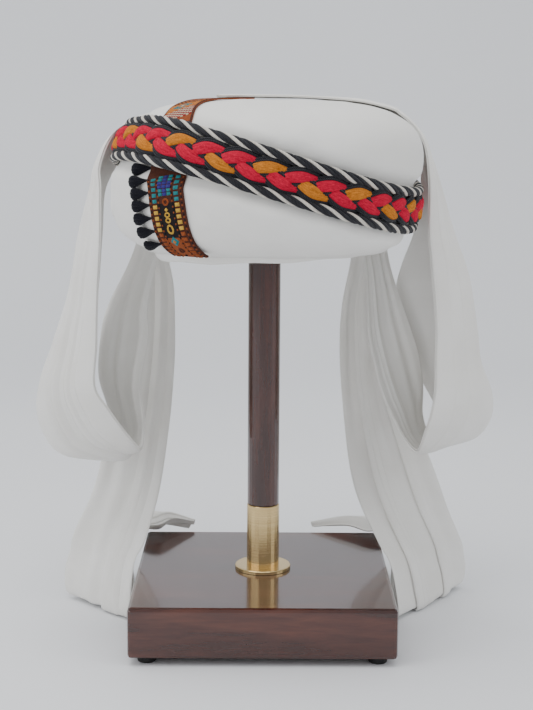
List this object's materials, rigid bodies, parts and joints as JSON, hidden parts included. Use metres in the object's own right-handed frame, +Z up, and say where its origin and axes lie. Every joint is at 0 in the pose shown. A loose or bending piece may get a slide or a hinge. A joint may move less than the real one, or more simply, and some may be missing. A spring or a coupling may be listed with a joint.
{
  "type": "tied turban pagri on a display stand",
  "caption": "White wound cloth turban with a braided band between black ropes, an embroidered tufted ribbon and long looped cloth ends, on a square wooden post stand.",
  "frame": {"origin": "on the floor under the middle of the stand's post", "axes": "+Z up along the post, +X to the right as seen from the front, +Y towards the back"},
  "size_m": [0.4002, 0.2789, 0.462],
  "materials": {
    "white_cotton": "matte woven",
    "braid_wool": "matte wool",
    "black_rope": "matte twisted",
    "embroidery": "matte stitched",
    "black_tuft": "matte",
    "polished_wood": "polished",
    "brushed_brass": "brushed",
    "foot_rubber": "matte"
  },
  "bodies": {
    "root": {"turban_body": "white_cotton", "braid_plait": "braid_wool", "rope_upper": "black_rope", "rope_lower": "black_rope", "embroidered_ribbon": "embroidery", "tuft_1": "black_tuft", "tuft_2": "black_tuft", "tuft_3": "black_tuft", "tuft_4": "black_tuft", "tuft_5": "black_tuft", "tuft_6": "black_tuft", "tuft_7": "black_tuft", "left_loop": "white_cotton", "right_loop": "white_cotton", "left_tail": "white_cotton", "right_tail": "white_cotton", "crown_block": "polished_wood", "post": "polished_wood", "brass_flange": "brushed_brass", "stand_base": "polished_wood", "foot_1": "foot_rubber", "foot_2": "foot_rubber", "foot_3": "foot_rubber", "foot_4": "foot_rubber"}
  },
  "joints": []
}
